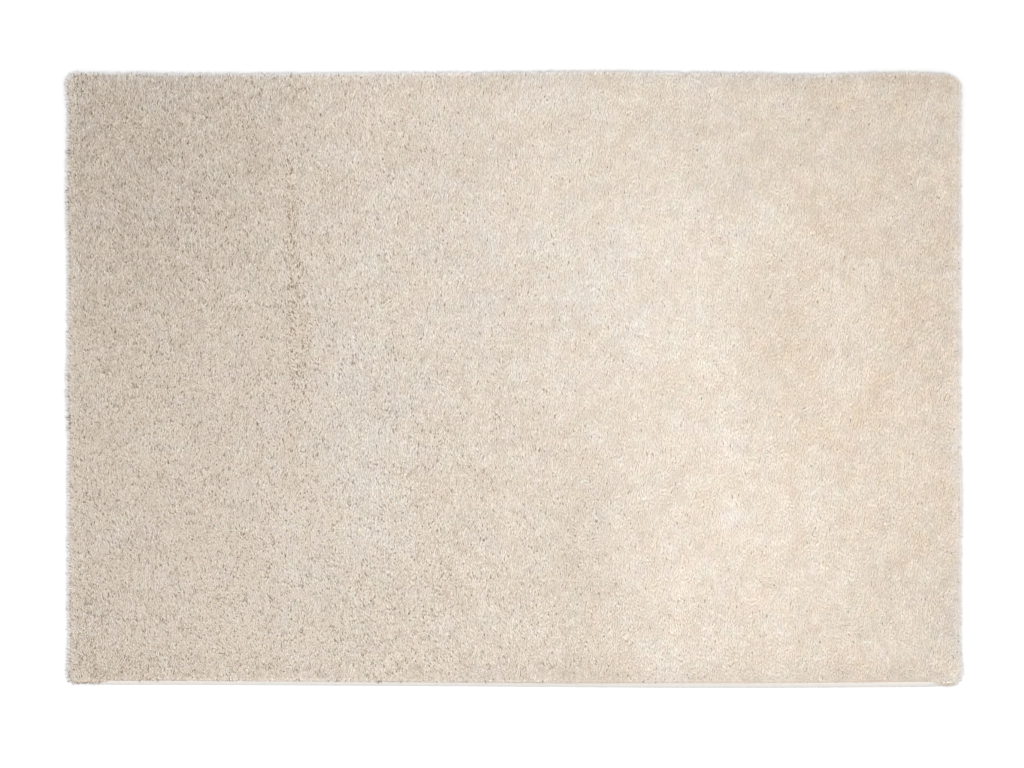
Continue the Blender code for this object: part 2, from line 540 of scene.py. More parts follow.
def body_material():
    """Packed yarn ends: painted shade, darkest on the left, a skirt painted paler, a small mound for each
    yarn.
    """
    material, shader, tree = plain_material("body of the pile", (0.72, 0.62, 0.51, 1.0), 0.95)
    place = tree.nodes.new("ShaderNodeTexCoord").outputs["Object"]
    axes = tree.nodes.new("ShaderNodeSeparateXYZ")
    link(tree, place, axes.inputs["Vector"])
    across = spread(tree, axes.outputs["X"], BODY_SHADE_SPAN)
    up = spread(tree, axes.outputs["Z"], SKIRT_SPAN)
    # Painted shade, darker on the left, and painted light on the skirt near the floor
    tone = ramp(tree, across, ((0.0, (0.62, 0.52, 0.42)), (1.0, (0.80, 0.71, 0.60))))
    skirt = ramp(tree, up, ((0.0, (1.25, 1.27, 1.30)), (1.0, (1.0, 1.0, 1.0))))
    link(tree, multiplied(tree, tone, skirt), shader.inputs["Base Color"])
    yarns = tree.nodes.new("ShaderNodeTexVoronoi")
    yarns.inputs["Scale"].default_value = YARNS_SCALE
    link(tree, place, yarns.inputs["Vector"])
    add_bump(tree, shader, yarns.outputs["Distance"], YARNS_BUMP, sunk=True)
    return material


front = front_short(outline_points[:, 0] - OFFSET[0], np.clip(-outline_normals[:, 1], 0, 1))
body_rings = [
    ring(outline_points, outline_normals, row["inset"] + row["short"] * front, row["height"]) for row in BODY
]
body = loft("pile_body", body_rings, body_material())
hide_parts("rug_mat")

# %% [markdown]
# The overcast edge
#
# A thick yarn is whipped round the rim, one turn close against the next, so the edge is a roll
# with a fine slanting rib. Its surface is a flattened round section carried round the outline,
# and its radius swells once for each turn of the yarn. The rows of the grid lean with the yarn,
# so two rows a turn are enough for a clean rib. Along the front the roll is pressed wider, and at
# the back it is narrower and stays under the pile.

# %% The roll
EDGE_STEP = 0.004
SECTION_POINTS = 10
SECTION_POWER = 0.7
TURN_PITCH = 0.0030
TURN_SLANT = 0.0035
TURN_SPREAD, TURN_SEED = 0.0003, 3
RIB_HEIGHT = 0.00045
BACK_TUCK = 0.25
FRONT_WIDER = (0.12, 0.36)

# How the roll's yarn is painted: light on its inner side, in the shade of the pile, and dark on its
# outer side, which the floor lights. Its columns: the value along the front, how much it swings
# to the outer side, how much lighter the far ends are, and what it is everywhere
OUTER_MIDDLE, OUTER_SWING, OUTER_ENDS, OUTER_COVERED = 0.35, 0.5, 0.2, 0.15
LAY_SQUEEZE = 0.1


def closed_grid(rows, columns):
    """Four-sided faces between the places of a grid that joins up with itself both ways."""
    here = np.arange(rows * columns).reshape(rows, columns)
    next_row, next_column = np.roll(here, -1, axis=0), np.roll(here, -1, axis=1)
    across = np.roll(next_row, -1, axis=1)
    return np.stack((here, next_row, across, next_column), axis=2).reshape(-1, 4)


def roll_surface():
    """The places on the roll, and the numbers that its colour follows.

    A row is one section: cosine and sine of an angle, the sine squared off by a power, times half
    the roll's size and its swell there. Each row starts half a turn's pitch on from the last, and
    every place moves along the outline by the slant times the cosine of its angle."""
    points, normals = outline(EDGE_STEP)
    closed = np.concatenate((points, points[:1]))
    lengths = np.concatenate(((0.0,), np.cumsum(np.linalg.norm(np.diff(closed, axis=0), axis=1))))
    turns = round(lengths[-1] / TURN_PITCH)
    rows = np.arange(2 * turns)[:, None]
    angle = (np.arange(SECTION_POINTS)[None] + 0.5) / SECTION_POINTS * 2 * math.pi
    along = (rows * lengths[-1] / (2 * turns) + TURN_SLANT * np.cos(angle)) % lengths[-1]
    thick = np.random.default_rng(TURN_SEED).uniform(-TURN_SPREAD, TURN_SPREAD, (turns, 1))
    swell = np.where(rows % 2 == 0, thick.repeat(2, axis=0), -RIB_HEIGHT)
    round_x = np.cos(angle) * (EDGE_WIDTH / 2 + swell)
    up = np.sign(np.sin(angle)) * np.abs(np.sin(angle)) ** SECTION_POWER * (EDGE_HEIGHT / 2 + swell)

    flat_x, flat_y = (np.interp(along, lengths, values) for values in closed.T)
    out_x, out_y = (np.interp(along, lengths, np.append(values, values[0])) for values in normals.T)
    size = np.hypot(out_x, out_y)
    out_x, out_y = out_x / size, out_y / size
    facing_front = np.clip(-out_y, 0, 1)
    wider = blend(*FRONT_WIDER, right_of_middle(flat_x)) * facing_front
    tucked = BACK_TUCK * np.clip(out_y, 0, 1)
    across = round_x * (1 + wider - tucked)
    shift = across - EDGE_WIDTH / 2 * (1 + wider + tucked)
    x = flat_x + out_x * shift - OFFSET[0]
    y = flat_y + out_y * shift - OFFSET[1]
    z = np.maximum(EDGE_HEIGHT / 2 + up, 0.0)
    places = np.stack((x, y, z), axis=2).reshape(-1, 3)
    core = np.stack((x - out_x * across, y - out_y * across, 0 * z), axis=2).reshape(-1, 3)
    # Painted shade on the outer side and painted light on the inner side; lighter towards the far ends
    outer = (OUTER_MIDDLE + OUTER_SWING * np.cos(angle) - OUTER_ENDS * x**2) * facing_front
    numbers = {"outer": (outer + OUTER_COVERED).ravel(), "lay": core + LAY_SQUEEZE * (places - core)}
    return places, numbers


# %% [markdown]
# The edge's colour follows a number kept on the mesh: painted shade on its outer side, which the
# floor and the lamp light strongly, and painted light on its inner side, in the shade of the pile.
# Its fibres run round the roll: they read a second place, drawn in to a tenth of its way from the
# roll's core, which stretches the noise along the yarn.

# %% The edge
EDGE_FIBRES = 2500.0
EDGE_LIGHT_AND_SHADE_STOPS = (
    (0.0, (0.87, 0.82, 0.77)),
    (0.2, (0.636, 0.60, 0.564)),
    (0.5, (0.545, 0.522, 0.497)),
    (1.0, (0.465, 0.45, 0.433)),
)


def edge_material():
    """Off-white yarn: a ramp of painted light and shade from its inner to its outer side, half multiplied by
    its fibres.
    """
    material, shader, tree = plain_material("overcast yarn", (0.53, 0.51, 0.485, 1.0), 0.85)
    colour = ramp(tree, attribute(tree, "outer"), EDGE_LIGHT_AND_SHADE_STOPS)
    fibres = fibre_lines(tree, attribute(tree, "lay", "Vector"), EDGE_FIBRES)
    shading = mask_colour(tree, fibres, 0.75, 1.2)
    link(tree, multiplied(tree, colour, shading, 0.5), shader.inputs["Base Color"])
    roughen(tree, shader, fibres, 0.75, 0.95, 0.0002)
    return material


edge_places, edge_numbers = roll_surface()
edge_faces = closed_grid(len(edge_places) // SECTION_POINTS, SECTION_POINTS)
edge = add_piece("overcast_edge", edge_places, edge_faces, edge_material(), edge_numbers)
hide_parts("edge_overcast")

# %% [markdown]
# Where the tufts stand
#
# Tufts are set in rows about 3.5 mm apart, but cut yarn spreads and the rows vanish, so each tuft
# starts on a grid and is moved at random by up to two fifths of its spacing. Outwards is the
# slope of a tuft's depth inside the outline, measured over a small nudge.

# %% The grid of roots
SPACING_X = 0.00325
SPACING_Y = 0.00370
JITTER = 0.42
SEED = 7
NUDGE = 0.0005
FACING_FRONT = -0.7
ROOT_SINK = 0.0008

rng = np.random.default_rng(SEED)
grid_x = np.arange(cad_box[0][0], cad_box[1][0], SPACING_X)
grid_y = np.arange(cad_box[0][1], cad_box[1][1], SPACING_Y)
x, y = (a.ravel() for a in np.meshgrid(grid_x, grid_y, indexing="ij"))
x = x + rng.uniform(-JITTER, JITTER, len(x)) * SPACING_X
y = y + rng.uniform(-JITTER, JITTER, len(y)) * SPACING_Y

depth = depth_inside(x, y)
out_x = (depth - depth_inside(x + NUDGE, y)) / NUDGE
out_y = (depth - depth_inside(x, y + NUDGE)) / NUDGE
depth = depth - front_short(x, out_y < FACING_FRONT)
kept = depth > PILE_INSET
x, y, depth, out_x, out_y = (a[kept] for a in (x, y, depth, out_x, out_y))
root_z = body_height(depth) - ROOT_SINK
print(len(x), "tufts on the grid")

# %% [markdown]
# The shoulder of the body is too steep for the grid, so three rows of tufts follow it round.

# %% Rows round the shoulder
ROW_STEP = 0.0033
ROWS = (
    {"inset": 0.0038, "height": 0.0078},
    {"inset": 0.0036, "height": 0.0070},
    {"inset": 0.0050, "height": 0.0082},
)

row_points, row_normals = outline(ROW_STEP)
row_short = front_short(row_points[:, 0] - OFFSET[0], np.clip(-row_normals[:, 1], 0, 1))
for row in ROWS:
    places = ring(row_points, row_normals, row["inset"] + row_short, row["height"])
    x, y = np.append(x, places[:, 0]), np.append(y, places[:, 1])
    root_z = np.append(root_z, places[:, 2])
    out_x, out_y = np.append(out_x, row_normals[:, 0]), np.append(out_y, row_normals[:, 1])
    depth = np.append(depth, np.full(len(places), row["inset"]))
print(len(x), "tufts")

# How far each tuft's outward direction points to each side
to_right, to_left = np.clip(out_x, 0, 1), np.clip(-out_x, 0, 1)
to_back, to_front = np.clip(out_y, 0, 1), front_share(x, out_y < FACING_FRONT)
cornering = 2 * np.abs(out_x * out_y)

# %% [markdown]
# What changes over the rug
#
# From left to right the pile changes in one slow sweep. On the left it stands open, so its roots
# show, dark with painted shade, and most of all towards the front, where it is worn. On the right
# it lies closed.
# Smaller changes are waves of soft noise. A table gives each wave's size, its seed, and its
# strength on the left and on the right.

# %% Open and closed pile
# How many values a grid of noise has each way, and which of them lies under the rug's middle
NOISE_CELLS = 512
NOISE_SHIFT = 200.0
OPEN_END = -0.75
OPEN_FADE = 1.3
OPEN_SLANT = 0.2
WORN_START = 0.1
WORN_FADE = 0.6


def soft_noise(x, y, size, seed):
    """Random values from -1 to 1 on a square grid of this size, blended smoothly between its points."""
    values = np.random.default_rng(seed).uniform(-1, 1, (NOISE_CELLS, NOISE_CELLS))
    u, v = x / size + NOISE_SHIFT, y / size + NOISE_SHIFT
    i, j = np.floor(u).astype(int), np.floor(v).astype(int)
    a, b = smooth_step(u - i), smooth_step(v - j)
    next_i, next_j = (i + 1) % NOISE_CELLS, (j + 1) % NOISE_CELLS
    i, j = i % NOISE_CELLS, j % NOISE_CELLS
    near = blend(values[i, j], values[next_i, j], a)
    far = blend(values[i, next_j], values[next_i, next_j], a)
    return blend(near, far, b)


rightness = smooth_step((x + OPEN_SLANT * y - OPEN_END) / OPEN_FADE)
open_share = 1 - rightness
worn = open_share * smooth_step((WORN_START - y) / WORN_FADE)
print("mean share of open pile", round(float(open_share.mean()), 3))


def sweep(ends):
    """A value at each tuft, from what it is on the left of the rug and on its right."""
    return blend(*ends, rightness)


def waves(rows):
    """The sum of a table's soft noises at each tuft, each times its strength there."""
    return sum(
        sweep((row["left"], row["right"])) * soft_noise(x, y, row["size"], row["seed"]) for row in rows
    )

# %% [markdown]
# How the tufts lie
#
# Brushed pile leans: here towards the back edge, more on the right than on the left. Neighbours
# also cling together in small locks, so each tip is drawn part of the way to the middle of its
# lock. Locks are uneven cells, so there is no grid to be seen.

# %% Lean and locks
LEAN = (0.0073, 0.0100)
LEAN_WAVES = ({"size": 0.050, "seed": 11, "left": 0.25, "right": 0.25},)
LEAN_SPREAD = 0.18
HEADING = math.pi / 2
HEADING_RIGHT = 0.19
HEADING_BACK = -0.10
HEADING_WAVES = (
    {"size": 0.110, "seed": 12, "left": 0.18, "right": 0.18},
    {"size": 0.022, "seed": 13, "left": 0.24, "right": 0.14},
)
HEADING_SPREAD = (0.23, 0.15)
LOCK_SIZE = 0.0085
LOCK_SEED = 14
LOCK_PULL = 0.16


def nearest_middles(x, y, size, seed):
    """For each point, the nearest of the middles that lie one to a square, each moved at random in it,
    and a random number from 0 to 1 of that middle's own."""
    moves = np.random.default_rng(seed).uniform(0, 1, (NOISE_CELLS, NOISE_CELLS, 3))
    i, j = np.floor(x / size).astype(int), np.floor(y / size).astype(int)
    best = np.full(len(x), np.inf)
    found = np.zeros((len(x), 3))
    for di in (-1, 0, 1):
        for dj in (-1, 0, 1):
            move = moves[(i + di) % NOISE_CELLS, (j + dj) % NOISE_CELLS]
            middle_x, middle_y = (i + di + move[:, 0]) * size, (j + dj + move[:, 1]) * size
            middle = np.stack((middle_x, middle_y, move[:, 2]), axis=1)
            far = np.hypot(middle_x - x, middle_y - y)
            nearer = far < best
            best = np.where(nearer, far, best)
            found[nearer] = middle[nearer]
    return found


lean = sweep(LEAN) * (1 + waves(LEAN_WAVES) + rng.normal(0, LEAN_SPREAD, len(x)))
heading = HEADING + HEADING_RIGHT * rightness + HEADING_BACK * y + waves(HEADING_WAVES)
heading = heading + rng.normal(0, 1, len(x)) * sweep(HEADING_SPREAD)
middles = nearest_middles(x, y, LOCK_SIZE, LOCK_SEED)
tip_x = lean * np.cos(heading) + LOCK_PULL * (middles[:, 0] - x)
tip_y = lean * np.sin(heading) + LOCK_PULL * (middles[:, 1] - y)
print("mean lean", round(float(lean.mean()) * 1000, 2), "mm")

# %% [markdown]
# Over the rim
#
# At the rim nothing holds a tuft up, so it splays outwards over the edge and lies lower. How far
# differs from side to side, at the corners, and from tuft to tuft: that makes the ragged rim.
# Along the front the pile was shorn, and only its longest tufts still fall forward.

# %% The splay
SPLAY = 0.0070
SPLAY_REACH = 0.006
OVERHANG = {"right": 0.30, "left": 0.45, "back": -0.25, "front": -0.85}
CORNER_PUSH = {"front right": 0.25, "back right": -0.8, "back left": 0.3, "front left": 0.2}
REACH_LOW, REACH_HIGH = 0.45, 1.2
BACK_REACH_LOW, BACK_REACH_HIGH = 0.10, 1.7
CORNER_REACH = 0.95
CORNER_EVENNESS = 0.7
FORWARD_REACH = 0.95
FORWARD_PUSH = 0.40
RIM_LEAN_LOST = 0.8
FRONT_LEAN_KEPT = 0.55

rim = np.exp(-(depth - PILE_INSET) / SPLAY_REACH)
overhang = 1 + OVERHANG["right"] * to_right + OVERHANG["left"] * to_left
overhang = overhang + OVERHANG["back"] * to_back + OVERHANG["front"] * to_front
push_right = np.where(out_y < 0, CORNER_PUSH["front right"], CORNER_PUSH["back right"])
push_left = np.where(out_y < 0, CORNER_PUSH["front left"], CORNER_PUSH["back left"])
overhang = overhang + cornering * np.where(out_x > 0, push_right, push_left)
reach_low = blend(REACH_LOW, BACK_REACH_LOW, to_back)
reach_high = blend(REACH_HIGH, BACK_REACH_HIGH, to_back)
reach = rng.uniform(reach_low, reach_high, len(x))
reach = blend(reach, CORNER_REACH, CORNER_EVENNESS * cornering)
forward = to_front * (reach > FORWARD_REACH)
splay = SPLAY * rim * reach * (overhang + FORWARD_PUSH * forward)
kept_lean = 1 - (RIM_LEAN_LOST - FRONT_LEAN_KEPT * (to_front - forward)) * rim
tip_x = tip_x * kept_lean + splay * out_x
tip_y = tip_y * kept_lean + splay * out_y
print("the rim splays by up to", round(float(splay.max()) * 1000, 2), "mm")

# %% [markdown]
# One old fold
#
# Left of the middle the rug was once folded. Along that line the tufts part to both sides, and
# their roots show, dark with painted shade. The line is a flat-topped bell curve across, with soft ends.

# %% The fold
FOLD_LEFT, FOLD_RIGHT = -0.498, -0.466
FOLD_SLANT = -0.09
FOLD_Y = 0.305
FOLD_FRONT, FOLD_FRONT_FADE = -0.10, 0.16
FOLD_BACK, FOLD_BACK_FADE = 0.51, 0.06
FOLD_PARTING = 0.0022

fold_right = FOLD_RIGHT + FOLD_SLANT * (y - FOLD_Y)
from_fold = x - (fold_right + FOLD_LEFT) / 2
fold = np.exp(-((2 * from_fold / (fold_right - FOLD_LEFT)) ** 4))
fold = fold * smooth_step((y - FOLD_FRONT) / FOLD_FRONT_FADE)
fold = fold * smooth_step((FOLD_BACK - y) / FOLD_BACK_FADE)
tip_x = tip_x + FOLD_PARTING * fold * np.sign(from_fold)
print(int((fold > 0.5).sum()), "tufts stand in the fold")

# %% [markdown]
# Small gaps
#
# Here and there is a small dark gap. The tufts beside it part round it: the spot where a tuft
# passes nearest to the gap is pushed out to the gap's reach. A power makes most of them tiny.
# The tufts that stand inside one stay short.

# %% The gaps
GAP_SPACING = 0.0092
GAP_SEED = 17
GAP_REACH = 0.0041
GAP_POWER = 1.6
GAP_AHEAD = 0.6
GAP_SIZE = {"closed": 0.45, "open": 1.0, "worn": 0.12, "fold": 0.3}
LEAST_SHARE = 0.35
INSIDE_GAP = 0.8


def by_state(table):
    """A value at each tuft: from closed to open pile, plus what wear and the fold add."""
    value = blend(table["closed"], table["open"], open_share)
    return value + table["worn"] * worn + table["fold"] * fold


gaps = nearest_middles(x + GAP_AHEAD * tip_x, y + GAP_AHEAD * tip_y, GAP_SPACING, GAP_SEED)
gap_reach = GAP_REACH * gaps[:, 2] ** GAP_POWER * by_state(GAP_SIZE)
share = ((gaps[:, 0] - x) * tip_x + (gaps[:, 1] - y) * tip_y) / (tip_x**2 + tip_y**2 + 1e-9)
share = np.clip(share, 0, 1)
away_x, away_y = x + share * tip_x - gaps[:, 0], y + share * tip_y - gaps[:, 1]
away = np.hypot(away_x, away_y) + 1e-6
push = np.clip(gap_reach - away, 0, None) / np.maximum(share, LEAST_SHARE) / away
tip_x = tip_x + push * away_x
tip_y = tip_y + push * away_y
in_gap = np.hypot(gaps[:, 0] - x, gaps[:, 1] - y) < INSIDE_GAP * gap_reach
print(int(in_gap.sum()), "tufts stand in gaps")

# %% [markdown]
# How high the tufts reach
#
# The top of the pile is nearly level. Each lock is a low dome, and each tuft is a little longer
# or shorter than the next, more so where the pile is open. A few stay deep down, and with their
# painted shade they are the darkest specks.

# %% Heights
TIP_HEIGHT = 0.0170
HEIGHT_WAVES = (
    {"size": 0.160, "seed": 15, "left": 0.0006, "right": 0.0006},
    {"size": 0.030, "seed": 16, "left": 0.0006, "right": 0.0006},
)
LOCK_DOME = 0.0018
RISE_SPREAD = (0.0018, 0.0007)
DEEP_SHARE = {"closed": 0.002, "open": 0.052, "worn": 0.02, "fold": 0.22}
DEEP_RISE = 0.35
RIM_DROP = 0.75
FRONT_DROP = 0.10

from_middle = np.hypot(middles[:, 0] - x, middles[:, 1] - y) / LOCK_SIZE
rise = TIP_HEIGHT - BODY[-1]["height"] + waves(HEIGHT_WAVES) - LOCK_DOME * from_middle**2
rise = rise + rng.normal(0, 1, len(x)) * sweep(RISE_SPREAD)
deep = (rng.random(len(x)) < by_state(DEEP_SHARE)) | in_gap
rise = np.where(deep, rise * DEEP_RISE, rise)
height = root_z + rise * (1 - (RIM_DROP + FRONT_DROP * to_front) * rim)
print(int(deep.sum()), "tufts stay deep down")

# %% [markdown]
# One tuft
#
# The free end of a yarn is a slim three-sided spike: a ring where it stands on the body of the
# pile, and a tip. That is four triangles, and it is closed. All tufts are worked out at once:
# each row of the arrays is one tuft.

# %% The tuft arrays
TUFT_RADIUS = 0.0023
NORMAL_LIFT = 0.6
TUFT_WIDTH = (0.75, 1.06)
WIDTH_SPREAD = 0.15
CORNER_WIDTH = 0.4


def tuft_places(root, tip_x, tip_y, height, spin, width):
    """The four places of each tuft, and the direction that each place's surface is shaded as facing.

    The ring stands square to the line from root to tip. The shading leans towards straight up,
    because light gets through a soft yarn from all sides."""
    count = len(root)
    tip = np.column_stack((root[:, 0] + tip_x, root[:, 1] + tip_y, height))
    reach = np.maximum(np.hypot(tip_x, tip_y), 1e-5)
    side = np.stack((-tip_y / reach, tip_x / reach, np.zeros(count)), axis=1)
    line = tip - root
    line /= np.linalg.norm(line, axis=1)[:, None]
    face = np.cross(side, line)
    angles = spin[:, None] + np.arange(3) * 2 * math.pi / 3
    outwards = np.cos(angles)[..., None] * face[:, None] + np.sin(angles)[..., None] * side[:, None]
    ring_places = root[:, None] + outwards * (TUFT_RADIUS * width)[:, None, None]
    places = np.concatenate((ring_places, tip[:, None]), axis=1)
    facing = np.concatenate((outwards, line[:, None]), axis=1)
    facing = facing + np.array((0.0, 0.0, NORMAL_LIFT))
    facing = facing / np.linalg.norm(facing, axis=2)[..., None]
    return places, facing


spin = rng.uniform(0, 2 * math.pi, len(x))
width = rng.uniform(1 - WIDTH_SPREAD, 1 + WIDTH_SPREAD, len(x))
width = width * sweep(TUFT_WIDTH) * (1 + CORNER_WIDTH * cornering)
tufts, facings = tuft_places(np.column_stack((x, y, root_z)), tip_x, tip_y, height, spin, width)
print("tufts span", tufts.reshape(-1, 3).min(axis=0), tufts.reshape(-1, 3).max(axis=0))

# %% [markdown]
# Tone
#
# The yarn is one cream colour, but the pile isn't: it looks greyer where the tufts stand up on
# the left, lightest right of the middle, and peachy towards the right. These slow changes are a
# few soft patches of painted light and painted shade, with a warmth of their own.

# %% Soft patches
# Each patch: its middle, its half widths, how square it is, its painted light (below 0 painted shade) and
# how much warmer
PATCHES = (
    {"x": -0.95, "y": 0.60, "wide": 0.30, "deep": 0.50, "power": 2, "light": -0.06, "warm": 0.00},
    {"x": -0.75, "y": 0.42, "wide": 0.30, "deep": 0.40, "power": 4, "light": -0.07, "warm": 0.00},
    {"x": -0.97, "y": 0.00, "wide": 0.45, "deep": 2.00, "power": 2, "light": -0.03, "warm": 0.00},
    {"x": -0.25, "y": 0.05, "wide": 0.20, "deep": 0.16, "power": 2, "light": -0.02, "warm": 0.00},
    {"x": -0.05, "y": 0.00, "wide": 0.35, "deep": 0.90, "power": 2, "light": -0.025, "warm": 0.00},
    {"x": 0.10, "y": 0.35, "wide": 0.40, "deep": 0.45, "power": 2, "light": 0.02, "warm": 0.00},
    {"x": 0.42, "y": -0.30, "wide": 0.22, "deep": 0.40, "power": 2, "light": 0.045, "warm": 0.00},
    {"x": 0.12, "y": -0.33, "wide": 0.14, "deep": 0.14, "power": 2, "light": -0.04, "warm": 0.00},
    {"x": 0.62, "y": -0.15, "wide": 0.10, "deep": 0.10, "power": 2, "light": 0.03, "warm": 0.00},
    {"x": 0.40, "y": 0.24, "wide": 0.05, "deep": 0.10, "power": 2, "light": 0.05, "warm": 0.00},
    {"x": 0.05, "y": -0.66, "wide": 0.45, "deep": 0.30, "power": 2, "light": -0.05, "warm": 0.00},
    {"x": 1.00, "y": -0.60, "wide": 0.25, "deep": 0.30, "power": 2, "light": -0.07, "warm": -0.20},
    {"x": 0.98, "y": 0.30, "wide": 0.18, "deep": 0.80, "power": 2, "light": -0.05, "warm": 0.00},
    {"x": -0.93, "y": -0.67, "wide": 0.10, "deep": 0.05, "power": 2, "light": -0.15, "warm": 0.00},
    {"x": 0.40, "y": 0.68, "wide": 0.65, "deep": 0.05, "power": 4, "light": -0.05, "warm": 0.00},
    {"x": -0.58, "y": -0.30, "wide": 0.28, "deep": 0.58, "power": 2, "light": 0.115, "warm": 0.00},
    {"x": 0.50, "y": 0.52, "wide": 0.35, "deep": 0.16, "power": 2, "light": -0.03, "warm": 0.00},
    {"x": 0.85, "y": -0.02, "wide": 0.20, "deep": 0.30, "power": 2, "light": 0.03, "warm": 0.00},
    {"x": -0.36, "y": -0.12, "wide": 0.13, "deep": 0.26, "power": 2, "light": 0.00, "warm": -0.25},
    {"x": 0.10, "y": 0.22, "wide": 0.36, "deep": 0.18, "power": 2, "light": 0.00, "warm": -0.22},
    {"x": 0.57, "y": 0.06, "wide": 0.09, "deep": 0.22, "power": 4, "light": -0.025, "warm": 0.14},
    {"x": -0.49, "y": -0.15, "wide": 0.018, "deep": 0.13, "power": 2, "light": -0.05, "warm": 0.25},
    {"x": -0.49, "y": -0.45, "wide": 0.024, "deep": 0.18, "power": 4, "light": 0.04, "warm": -0.10},
    {"x": 0.85, "y": 0.05, "wide": 0.24, "deep": 0.90, "power": 2, "light": 0.00, "warm": 0.30},
)
# Painted light over the whole rug: more on the left, and a little more where the pile is worn
SHADE = (1.114, 0.892)
SHADE_WORN = 0.035
WARMTH = (0.10, -0.02)

shade = sweep(SHADE) + SHADE_WORN * worn
warmth = sweep(WARMTH)
for patch in PATCHES:
    across, along = abs(x - patch["x"]) / patch["wide"], abs(y - patch["y"]) / patch["deep"]
    strength = np.exp(-(across ** patch["power"] + along ** patch["power"]))
    shade = shade + patch["light"] * strength
    warmth = warmth + patch["warm"] * strength
print("soft patches from", round(float(shade.min()), 3), "to", round(float(shade.max()), 3))

# %% [markdown]
# On top of the patches come blotches of a few sizes, fine streaks along the lean on the right,
# and a tone of each tuft's own. Open pile is the most uneven. A deep tuft gets little light, so it
# is painted darker as shade; the fold is painted a little darker as shade, and it is browner.

# %% The tone of each tuft
SHADE_WAVES = (
    {"size": 0.070, "seed": 21, "left": 0.014, "right": 0.014},
    {"size": 0.035, "seed": 25, "left": 0.006, "right": 0.006},
    {"size": 0.016, "seed": 22, "left": 0.034, "right": 0.050},
)
WARM_WAVES = (
    {"size": 0.060, "seed": 23, "left": 0.12, "right": 0.18},
    {"size": 0.025, "seed": 24, "left": 0.12, "right": 0.18},
    {"size": 0.013, "seed": 26, "left": 0.05, "right": 0.12},
)
STREAK, STREAK_SIZE, STREAK_NARROWING, STREAK_SEED = 0.03, 0.009, 1.5, 29
TUFT_SPREAD = {"closed": 0.01, "open": 0.195, "power": 1.4, "worn": 0.03}
DEEP_SHADE = (0.36, 0.50)
FOLD_DIM = 0.01
FOLD_WARM, FOLD_DEEP_WARM = 0.2, 0.4

shade = shade + waves(SHADE_WAVES)
shade = shade + STREAK * rightness * soft_noise(STREAK_NARROWING * x, y, STREAK_SIZE, STREAK_SEED)
tuft_spread = TUFT_SPREAD["closed"] + TUFT_SPREAD["open"] * open_share ** TUFT_SPREAD["power"]
shade = shade + rng.normal(0, 1, len(x)) * (tuft_spread + TUFT_SPREAD["worn"] * worn)
# Painted shade on deep tufts, and a little in the fold
shade = shade * np.where(deep, sweep(DEEP_SHADE), 1.0)
shade = shade * (1 - FOLD_DIM * fold)
warmth = warmth + waves(WARM_WAVES) + (FOLD_WARM + FOLD_DEEP_WARM * deep) * fold
print("mean shade", round(float(shade.mean()), 3))

# %% [markdown]
# The rim catches the light in its own way on each side, and that is painted into its tone. At the
# back the longest tufts are painted lightest. Along the front the pile is painted darker towards
# its shorn edge, most in the last few millimetres on the right.

# %% Tone near the rim
NEAR_RIM_REACH = 0.009
BACK_CONTRAST, BACK_MIDDLE = 0.30, 0.7
RIGHT_DIM = 0.14
CORNER_DIM = (0.22, 0.38)
BACK_DIM = 0.12
FRONT_DIM = (0.50, 0.44)
FRONT_DIM_REACH = 0.013
FRONT_LINE, FRONT_LINE_REACH = 0.28, 0.004

near_rim = np.exp(-(depth - PILE_INSET) / NEAR_RIM_REACH)
on_rim = BACK_CONTRAST * (reach - BACK_MIDDLE) * to_back - RIGHT_DIM * to_right
on_rim = on_rim - sweep(CORNER_DIM) * np.clip(-out_y - to_front, 0, 1)
shade = shade * (1 + rim * on_rim) * (1 - BACK_DIM * near_rim * to_back * rightness)
front_dim = sweep(FRONT_DIM) * np.exp(-depth / FRONT_DIM_REACH)
front_dim = front_dim + FRONT_LINE * rightness**2 * np.exp(-depth / FRONT_LINE_REACH)
shade = shade * (1 - to_front * front_dim)
print("shades", round(float(shade.min()), 3), "to", round(float(shade.max()), 3))

# %% [markdown]
# Now tone becomes colour. A darker tuft, with more painted shade, is also a little browner, a warm
# one has less green and still less blue, and near the rim, where more light gets through, the yarn
# is painted greyer. Small waves of green break it up. The foot of each tuft carries painted shade:
# more where the pile stands open, less where it lies closed, and least along the front edge.

# %% The tint of each tuft
SHADE_SPAN = (0.3, 1.18)
SHADE_POWERS = np.array((0.90, 1.0, 1.14))
WARM_TINT = np.array((-0.03, -0.125, -0.23))
RIM_TINT = np.array((0.0, 0.035, 0.11))
GREEN_WAVES = (
    {"size": 0.011, "seed": 27, "left": 0.017, "right": 0.017},
    {"size": 0.022, "seed": 28, "left": 0.014, "right": 0.014},
)
ROOT_SHARE = (0.80, 1.42)
ROOT_FRONT, ROOT_FRONT_EDGE = 0.25, 0.40

tint = np.clip(shade, *SHADE_SPAN)[:, None] ** SHADE_POWERS
# Painted: the yarn greyer near the rim, where more light gets through
greying = near_rim * (1 + to_right)
tint = tint * (1 + warmth[:, None] * WARM_TINT) * (1 + greying[:, None] * RIM_TINT)
tint[:, 1] *= 1 + waves(GREEN_WAVES)
# Painted shade at the foot: deeper on the left, lighter on the right and near the front edge
root_share = sweep(ROOT_SHARE) + (ROOT_FRONT * rim + ROOT_FRONT_EDGE * rim**4) * to_front
root_tint = tint * root_share[:, None]
print("tints", tint.min(axis=0), tint.mean(axis=0), tint.max(axis=0))

# %% [markdown]
# The yarn of the pile
#
# Each tuft has a cell of the UV map: its three sides side by side, and its foot below them. One
# ramp runs from the foot, dark with painted shade, to the cream tip, and the tint of the tuft
# multiplies it. A little sheen softens the yarn against the light, and the fibres give it a fine
# roughness.

# %% The pile's material
# Fibres to one unit of the UV map: about 8 round a tuft and 2 along it
FIBRES_ROUND = 1700.0
FIBRES_ALONG = 400.0
# From the foot, darkened as painted shade, to the tip in the cream yarn's colour
PILE_STOPS = ((0.0, (0.48, 0.42, 0.355)), (0.4, (0.74, 0.67, 0.59)), (1.0, (0.87, 0.80, 0.72)))


